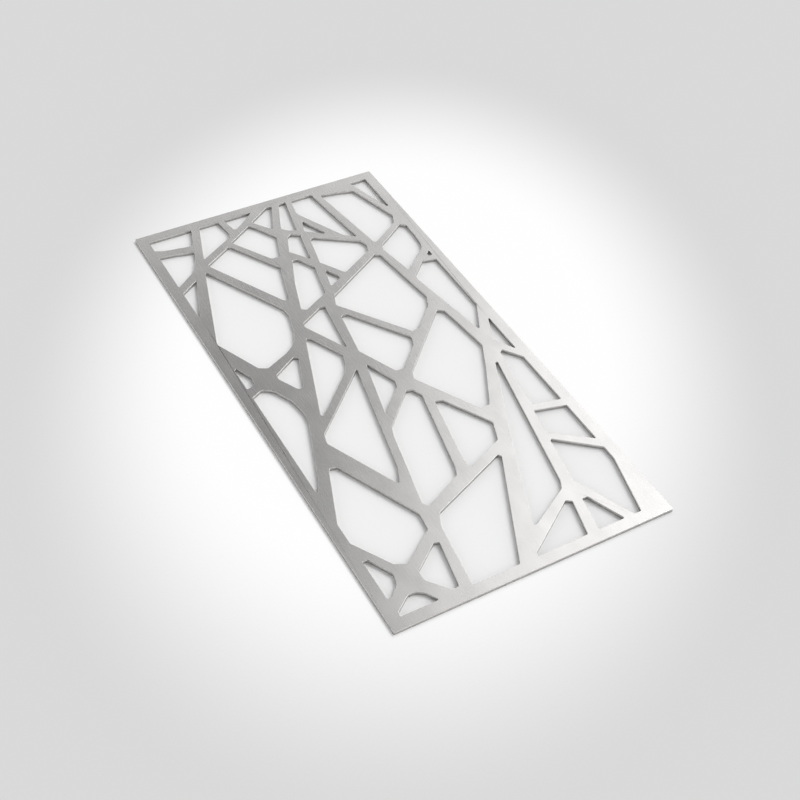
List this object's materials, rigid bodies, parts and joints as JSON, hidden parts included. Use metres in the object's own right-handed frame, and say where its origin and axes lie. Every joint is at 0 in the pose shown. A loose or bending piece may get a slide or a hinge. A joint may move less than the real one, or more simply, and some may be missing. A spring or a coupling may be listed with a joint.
{
  "type": "laser cut screen panel",
  "caption": "Flat rectangular sheet metal screen panel, laser cut through with a branching lattice of angular openings inside a plain border.",
  "frame": {"origin": "middle of the back face, the face that the sheet lies on", "axes": "+X along the short side to the right, +Y along the long side to the far end, +Z out of the front face"},
  "size_m": [0.3, 0.6, 0.004],
  "materials": {
    "sheet": "brushed along the long side, laser cut edges with fine upright striations"
  },
  "bodies": {
    "root": {"screen_panel": "sheet"}
  },
  "joints": []
}
